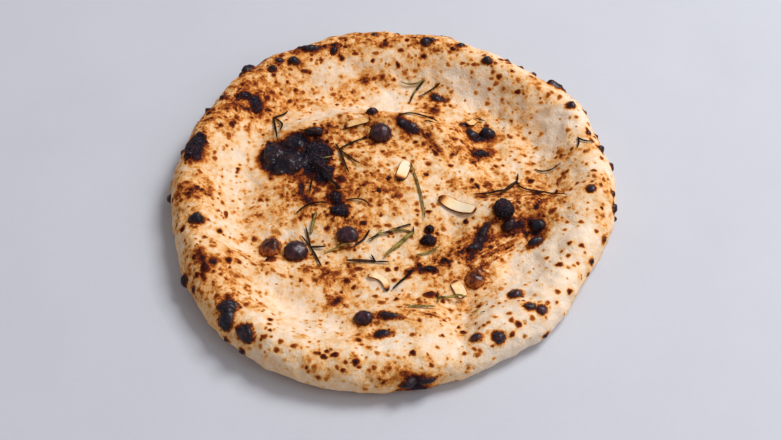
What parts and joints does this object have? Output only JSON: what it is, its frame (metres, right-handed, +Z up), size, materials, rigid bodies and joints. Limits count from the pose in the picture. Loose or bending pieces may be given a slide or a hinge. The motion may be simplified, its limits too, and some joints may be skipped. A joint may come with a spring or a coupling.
{
  "type": "focaccia",
  "caption": "Round thin focaccia with a puffed rim and charred blisters, strewn with rosemary leaves and garlic slices, lying flat.",
  "frame": {"origin": "on the surface it lies on, under the middle of the bread", "axes": "+X to the right in the picture, +Y away from the viewer, +Z up through the bread's thickness"},
  "size_m": [0.3003, 0.299, 0.0316],
  "materials": {
    "crust": "dry baked crust, pale cream to tan with scorched spots and black blisters",
    "garlic": "satin, cream with browned edges",
    "rosemary_green": "dried olive green leaf",
    "rosemary_charred": "charred leaf, near black"
  },
  "bodies": {
    "root": {"bread": "crust", "garlic_long": "garlic", "garlic_middle": "garlic", "garlic_front": "garlic", "garlic_curl": "garlic", "garlic_sliver": "garlic", "garlic_caught": "garlic", "rosemary_left_back": "rosemary_charred", "rosemary_crown_bud": "rosemary_charred", "rosemary_crown": "rosemary_charred", "rosemary_crown_broad": "rosemary_charred", "rosemary_crown_brown": "rosemary_charred", "rosemary_back_pair": "rosemary_green", "rosemary_back": "rosemary_green", "rosemary_fold": "rosemary_charred", "rosemary_left": "rosemary_charred", "rosemary_neck": "rosemary_charred", "rosemary_left_broad": "rosemary_green", "rosemary_left_sprig": "rosemary_green", "rosemary_left_pale": "rosemary_green", "rosemary_middle_dark": "rosemary_charred", "rosemary_middle_small": "rosemary_green", "rosemary_front_sprig": "rosemary_charred", "rosemary_middle_sprig": "rosemary_green", "rosemary_middle_long": "rosemary_green", "rosemary_long": "rosemary_green", "rosemary_right_sprig": "rosemary_charred", "rosemary_right_thin": "rosemary_charred", "rosemary_middle_pale": "rosemary_green", "rosemary_front_curled": "rosemary_charred", "rosemary_front_right": "rosemary_green", "rosemary_front": "rosemary_green", "rosemary_rim_pair": "rosemary_charred"}
  },
  "joints": []
}
